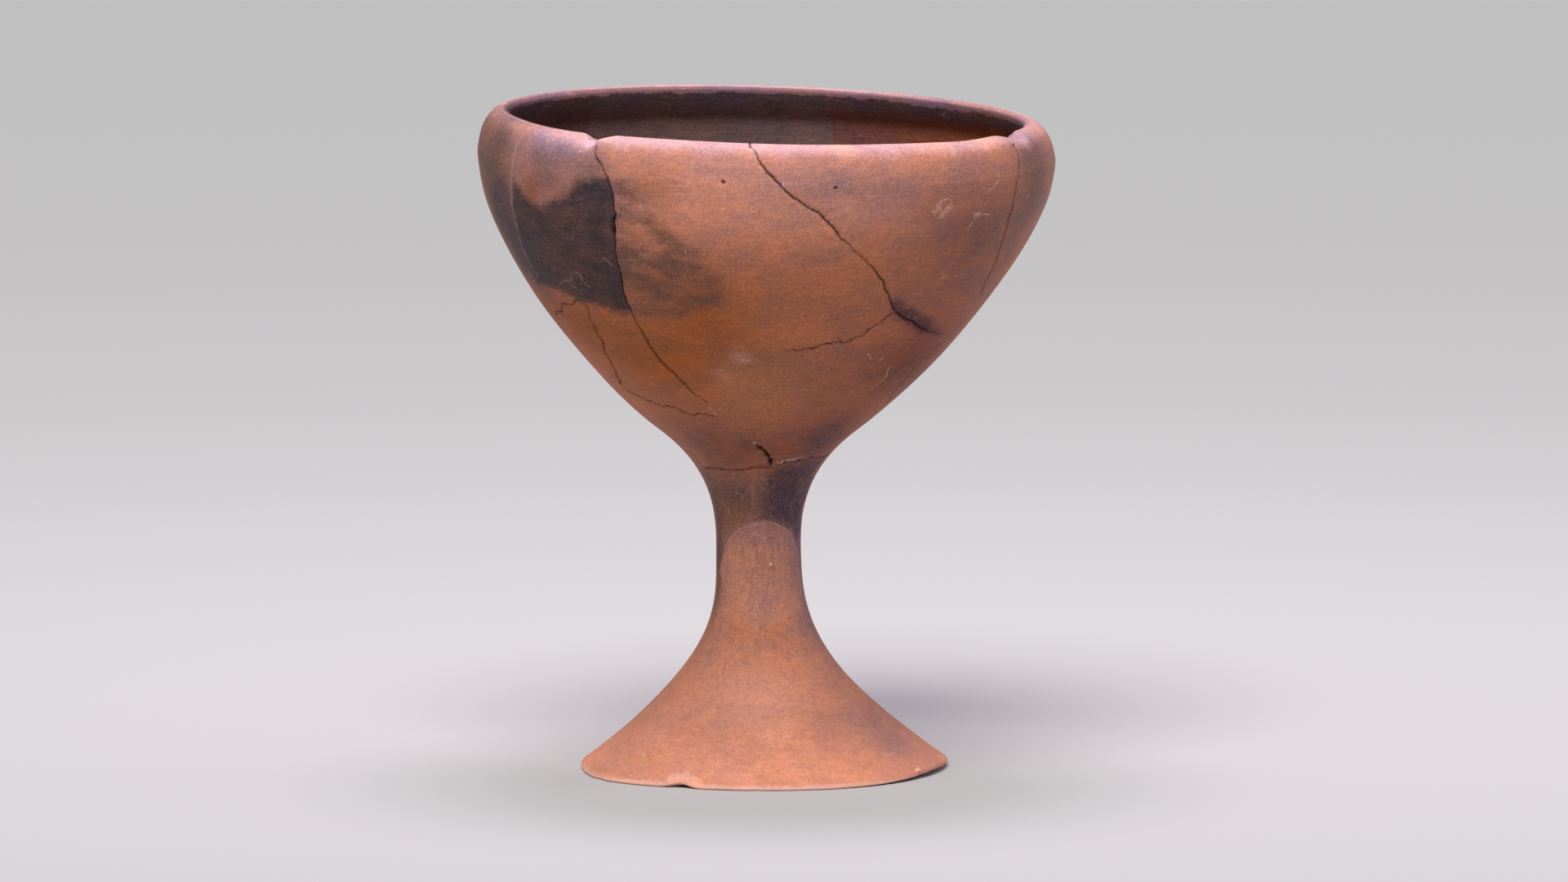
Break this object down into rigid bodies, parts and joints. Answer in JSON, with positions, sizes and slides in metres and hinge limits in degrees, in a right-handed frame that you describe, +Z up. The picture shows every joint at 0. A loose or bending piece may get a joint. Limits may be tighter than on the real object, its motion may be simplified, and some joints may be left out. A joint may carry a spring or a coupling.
{
  "type": "pottery cup",
  "caption": "Pedestalled pottery cup: a deep conical bowl with an incurved lip, a slender solid stem and a flared hollow foot, in mended red clay.",
  "frame": {"origin": "on the ground under the middle of the cup's overall box, which is under the middle of the bowl", "axes": "+Z up along the stem, -Y towards the side that the picture shows, +X to that side's right"},
  "size_m": [0.1719, 0.1718, 0.1976],
  "materials": {
    "fired_clay": "unglazed low-fired red clay, burnished and worn, with dark fire clouds and mended cracks"
  },
  "bodies": {
    "root": {"pedestal_cup": "fired_clay"}
  },
  "joints": []
}
